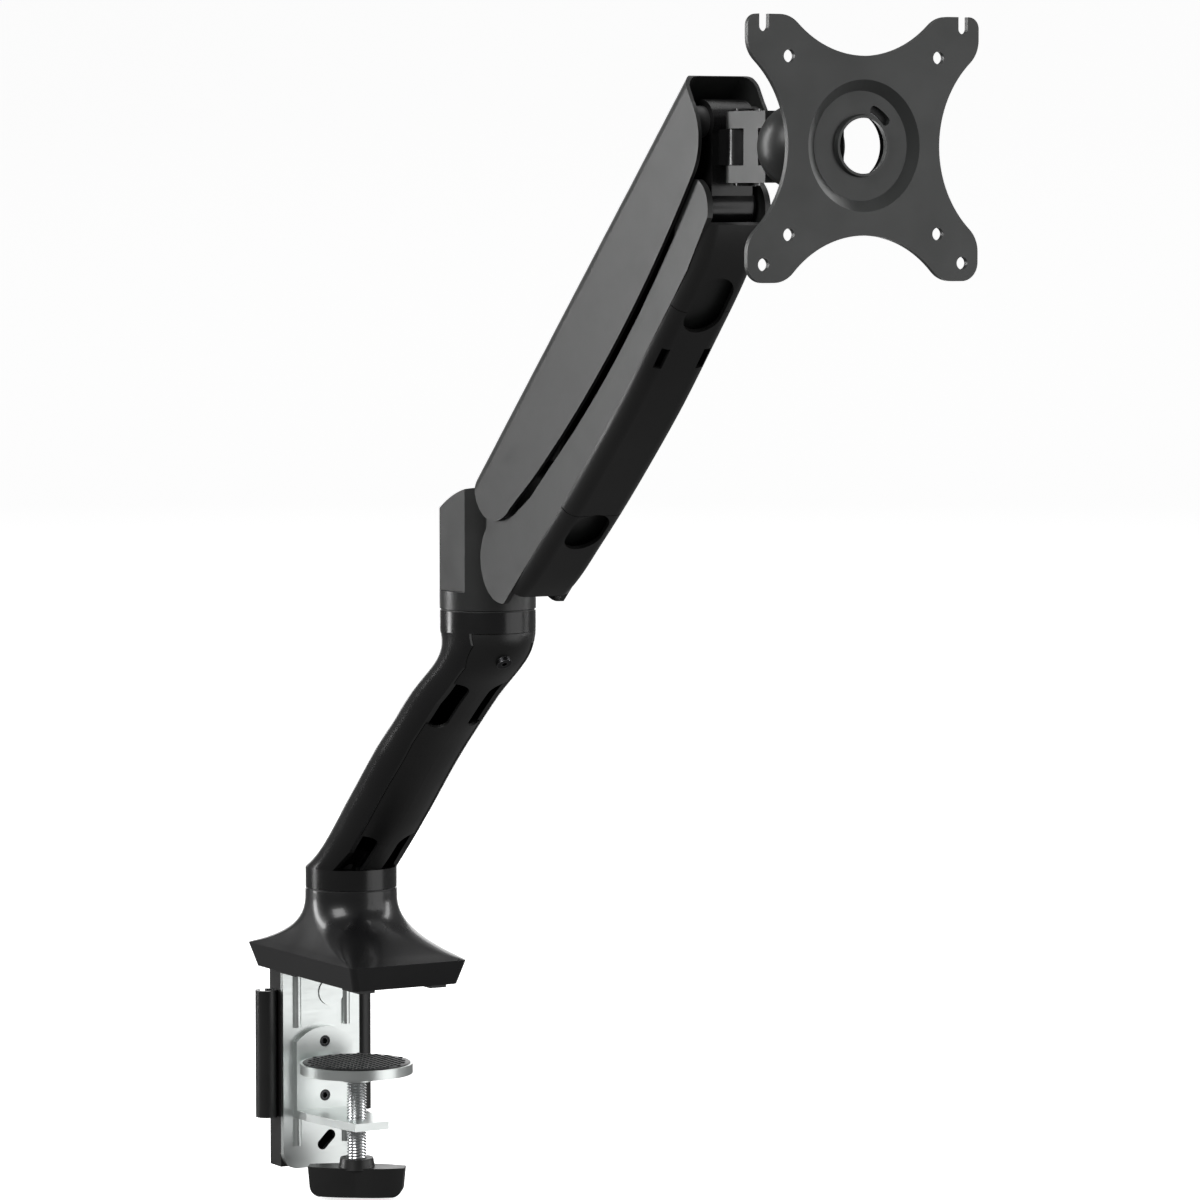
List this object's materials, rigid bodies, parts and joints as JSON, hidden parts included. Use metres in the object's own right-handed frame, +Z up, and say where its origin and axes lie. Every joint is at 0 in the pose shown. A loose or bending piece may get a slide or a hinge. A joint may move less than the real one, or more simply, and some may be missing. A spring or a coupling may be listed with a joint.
{
  "type": "monitor arm",
  "caption": "Desk-clamp monitor arm with a swivelling lower arm, a gas-spring parallelogram arm and a pan, tilt and turn screen plate.",
  "frame": {"origin": "on the desk top, where the axis of the base pole meets the underside of the foot pads", "axes": "+Z up along the pole, +X from the pole towards the screen plate with every joint at rest, +Y to the left of the arm"},
  "size_m": [0.5275, 0.116, 0.5797],
  "materials": {
    "arm_coat": "black satin powder coat on cast aluminium",
    "plate_coat": "fine charcoal powder coat on steel",
    "gloss_cover": "glossy black moulding",
    "matte_cover": "black moulding with a fine grain",
    "zinc_steel": "bright zinc plate",
    "bright_steel": "turned steel",
    "dark_steel": "black oxide",
    "rubber_pad": "soft matt rubber",
    "nylon": "dark nylon"
  },
  "bodies": {
    "base": {"base_cover": "gloss_cover", "base_plate": "zinc_steel", "base_bolts": "dark_steel", "foot_pads": "rubber_pad", "base_pole": "bright_steel", "base_washer": "nylon", "clamp_plate": "zinc_steel", "clamp_shelf": "zinc_steel", "shelf_bolts": "dark_steel", "clamp_rear_cover": "matte_cover", "cable_channels": "matte_cover"},
    "clamp_foot": {"pressure_disc": "zinc_steel", "disc_pad": "rubber_pad"},
    "clamp_spindle": {"clamp_screw": "bright_steel", "clamp_knob": "matte_cover"},
    "lower_arm": {"lower_arm_casting": "arm_coat", "lower_arm_lid": "matte_cover", "lid_screw": "dark_steel", "lower_arm_bush": "nylon", "elbow_shaft": "bright_steel", "elbow_washer": "nylon"},
    "post": {"elbow_post": "arm_coat", "elbow_bush": "nylon", "lower_rear_pin": "bright_steel", "upper_rear_pin": "bright_steel", "spring_rear_pin": "bright_steel", "rear_spacers": "nylon"},
    "gas_arm": {"gas_arm_body": "arm_coat", "rear_belly_lid": "matte_cover", "middle_belly_lid": "matte_cover", "front_belly_lid": "matte_cover", "gas_spring_tube": "dark_steel", "spring_front_pin": "bright_steel"},
    "link": {"upper_link": "arm_coat"},
    "spring_rod": {"gas_spring_rod": "bright_steel"},
    "bracket": {"end_bracket": "arm_coat", "lower_front_pin": "bright_steel", "upper_front_pin": "bright_steel", "front_spacers": "nylon"},
    "yoke": {"pan_yoke": "arm_coat", "pan_pin": "bright_steel", "tilt_bolt": "dark_steel", "tilt_nut": "dark_steel"},
    "head": {"tilt_head": "arm_coat", "plate_washer": "nylon"},
    "screen_plate": {"vesa_plate": "plate_coat", "plate_hub": "dark_steel"}
  },
  "joints": [
    {"name": "base_swivel", "type": "hinge", "parent": "base", "child": "lower_arm", "pos_m": [0, 0, 0.0465], "axis": [0, 0, 1], "range_deg": [-180, 180]},
    {"name": "elbow_swivel", "type": "hinge", "parent": "lower_arm", "child": "post", "pos_m": [0.143, 0, 0.196], "axis": [0, 0, 1], "range_deg": [-180, 180]},
    {"name": "lift", "type": "hinge", "parent": "post", "child": "gas_arm", "pos_m": [0.186, 0, 0.222], "axis": [0, -1, 0], "range_deg": [-79, 5]},
    {"name": "link_swing", "type": "hinge", "parent": "post", "child": "link", "pos_m": [0.186, 0, 0.259], "axis": [0, -1, 0], "range_deg": [-79, 5]},
    {"name": "bracket_level", "type": "hinge", "parent": "gas_arm", "child": "bracket", "pos_m": [0.35864, 0, 0.38872], "axis": [0, -1, 0], "range_deg": [-5, 79]},
    {"name": "spring_stroke", "type": "slide", "parent": "gas_arm", "child": "spring_rod", "axis": [0.7193, 0, 0.6947], "range_m": [-0.001, 0.0143]},
    {"name": "pan", "type": "hinge", "parent": "bracket", "child": "yoke", "pos_m": [0.38004, 0, 0.41442], "axis": [0, 0, 1], "range_deg": [-70, 70]},
    {"name": "tilt", "type": "hinge", "parent": "yoke", "child": "head", "pos_m": [0.42404, 0, 0.41442], "axis": [0, -1, 0], "range_deg": [-45, 60]},
    {"name": "roll", "type": "hinge", "parent": "head", "child": "screen_plate", "pos_m": [0.47454, 0, 0.41442], "axis": [1, 0, 0], "range_deg": [-180, 180]},
    {"name": "clamp_travel", "type": "slide", "parent": "base", "child": "clamp_foot", "axis": [0, 0, 1], "range_m": [-0.018, 0.015]},
    {"name": "clamp_turn", "type": "hinge", "parent": "clamp_foot", "child": "clamp_spindle", "pos_m": [0.0052, 0, -0.06], "axis": [0, 0, 1], "range_deg": [-4320, 3600]}
  ],
  "couplings": [
    {"joint": "link_swing", "follows": "lift", "ratio": 1},
    {"joint": "bracket_level", "follows": "lift", "ratio": -1},
    {"joint": "spring_stroke", "follows": "lift", "m_per_rad": -0.010204},
    {"joint": "clamp_turn", "follows": "clamp_travel", "rad_per_m": 4188.8}
  ]
}
